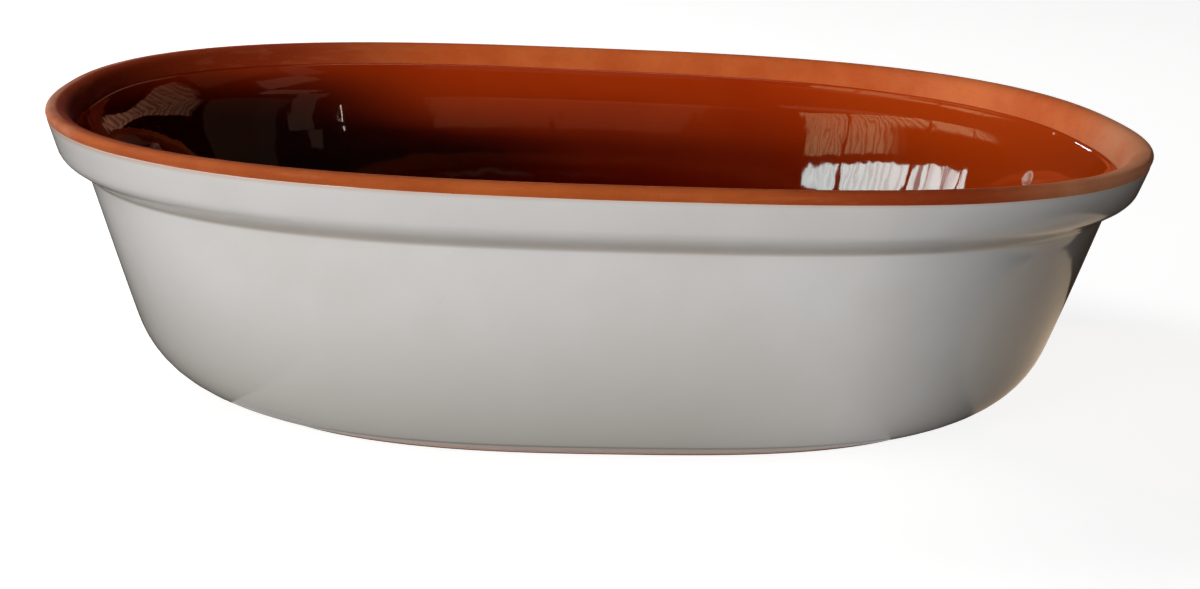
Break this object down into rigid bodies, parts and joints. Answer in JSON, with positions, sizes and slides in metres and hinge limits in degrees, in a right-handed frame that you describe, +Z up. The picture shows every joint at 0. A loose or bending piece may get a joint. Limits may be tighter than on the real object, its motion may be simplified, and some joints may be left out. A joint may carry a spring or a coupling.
{
  "type": "ceramic bread baker",
  "caption": "Oval terracotta bread baking dish with a flared collar, a bare clay rim and foot, honey glaze inside and cream glaze outside.",
  "frame": {"origin": "on the resting plane, under the middle of the foot", "axes": "+X along the dish's length, +Y across its width, +Z up through the open mouth"},
  "size_m": [0.35, 0.234, 0.087],
  "materials": {
    "bare_clay": "matte",
    "honey_glaze": "gloss",
    "cream_glaze": "gloss"
  },
  "bodies": {
    "root": {"clay_body": "bare_clay", "inner_glaze": "honey_glaze", "outer_glaze": "cream_glaze"}
  },
  "joints": []
}
